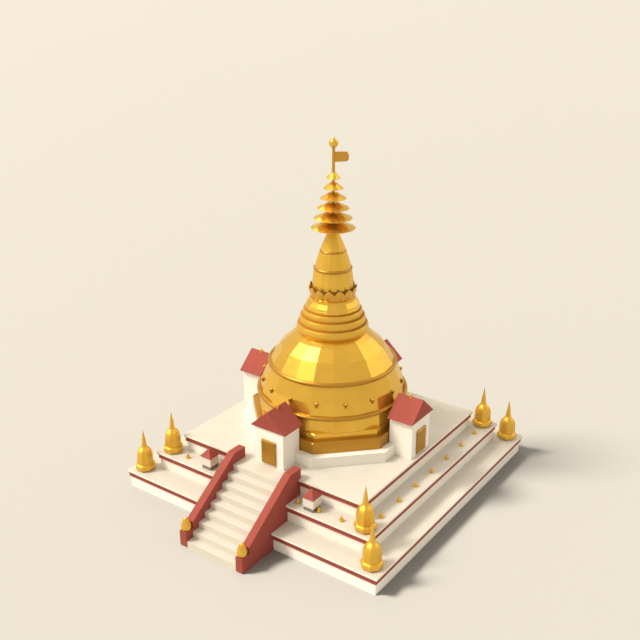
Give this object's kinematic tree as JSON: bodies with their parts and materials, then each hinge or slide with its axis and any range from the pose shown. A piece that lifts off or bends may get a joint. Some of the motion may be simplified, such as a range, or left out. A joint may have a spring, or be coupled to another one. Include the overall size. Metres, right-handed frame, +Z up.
{
  "type": "temple stupa",
  "caption": "Gilded bell-shaped stupa on stepped square terraces with a front stair, gabled shrines with hinged doors, corner stupas, an umbrella crown and a turning vane.",
  "frame": {"origin": "on the stupa's upright axis, at the level ground under the terraces", "axes": "+Z up; the stair climbs the side that faces -Y; +X is to the right of someone who faces the stair"},
  "size_m": [18.38, 20.93, 21.7549],
  "materials": {
    "cream_masonry": "matt limewashed render",
    "white_masonry": "matt white limewash",
    "red_masonry": "matt red paint",
    "gilded_masonry": "polished gold leaf",
    "gilded_metal": "polished gold leaf",
    "white_metal": "satin white",
    "door_wood": "satin gold-brown paint"
  },
  "bodies": {
    "building": {"lower_terrace_body": "cream_masonry", "lower_terrace_band": "red_masonry", "middle_terrace_body": "cream_masonry", "middle_terrace_band": "red_masonry", "upper_terrace_body": "cream_masonry", "upper_terrace_band": "red_masonry", "stair_flight": "cream_masonry", "left_stair_wall": "red_masonry", "left_stair_bud": "gilded_masonry", "right_stair_wall": "red_masonry", "right_stair_bud": "gilded_masonry", "octagonal_plinth": "white_masonry", "lower_gilded_tier": "gilded_masonry", "upper_gilded_tier": "gilded_masonry", "bell": "gilded_masonry", "lower_bell_belt": "gilded_masonry", "upper_bell_belt": "gilded_masonry", "lower_neck_ring": "gilded_masonry", "middle_neck_ring": "gilded_masonry", "upper_neck_ring": "gilded_masonry", "neck_bowl": "gilded_masonry", "lotus_petal_ring": "gilded_masonry", "spire": "gilded_masonry", "umbrella_tier_1": "gilded_metal", "umbrella_tier_2": "gilded_metal", "umbrella_tier_3": "gilded_metal", "umbrella_tier_4": "gilded_metal", "umbrella_tier_5": "gilded_metal", "umbrella_tier_6": "gilded_metal", "mast": "gilded_metal", "orb": "gilded_metal", "tip_bud": "white_metal", "front_shrine_walls": "white_masonry", "front_shrine_roof": "red_masonry", "right_shrine_walls": "white_masonry", "right_shrine_roof": "red_masonry", "back_shrine_walls": "white_masonry", "back_shrine_roof": "red_masonry", "left_shrine_walls": "white_masonry", "left_shrine_roof": "red_masonry", "lower_front_left_stupa": "gilded_masonry", "lower_front_right_stupa": "gilded_masonry", "lower_back_right_stupa": "gilded_masonry", "lower_back_left_stupa": "gilded_masonry", "middle_front_left_stupa": "gilded_masonry", "middle_front_right_stupa": "gilded_masonry", "middle_back_right_stupa": "gilded_masonry", "middle_back_left_stupa": "gilded_masonry", "left_spirit_house_body": "white_masonry", "left_spirit_house_roof": "red_masonry", "right_spirit_house_body": "white_masonry", "right_spirit_house_roof": "red_masonry"},
    "front_shrine_door": {"front_shrine_door": "door_wood"},
    "right_shrine_door": {"right_shrine_door": "door_wood"},
    "back_shrine_door": {"back_shrine_door": "door_wood"},
    "left_shrine_door": {"left_shrine_door": "door_wood"},
    "weather_vane": {"weather_vane": "gilded_metal"}
  },
  "joints": [
    {"name": "front_shrine_door_hinge", "type": "hinge", "parent": "building", "child": "front_shrine_door", "pos_m": [-0.53, -6.458, 4.23], "axis": [0, 0, -1], "range_deg": [0, 105]},
    {"name": "right_shrine_door_hinge", "type": "hinge", "parent": "building", "child": "right_shrine_door", "pos_m": [6.458, -0.53, 4.23], "axis": [0, 0, -1], "range_deg": [0, 105]},
    {"name": "back_shrine_door_hinge", "type": "hinge", "parent": "building", "child": "back_shrine_door", "pos_m": [0.53, 6.458, 4.23], "axis": [0, 0, -1], "range_deg": [0, 105]},
    {"name": "left_shrine_door_hinge", "type": "hinge", "parent": "building", "child": "left_shrine_door", "pos_m": [-6.458, 0.53, 4.23], "axis": [0, 0, -1], "range_deg": [0, 105]},
    {"name": "weather_vane_spin", "type": "hinge", "parent": "building", "child": "weather_vane", "pos_m": [0, 0, 20.36], "axis": [0, 0, 1], "continuous": true}
  ]
}
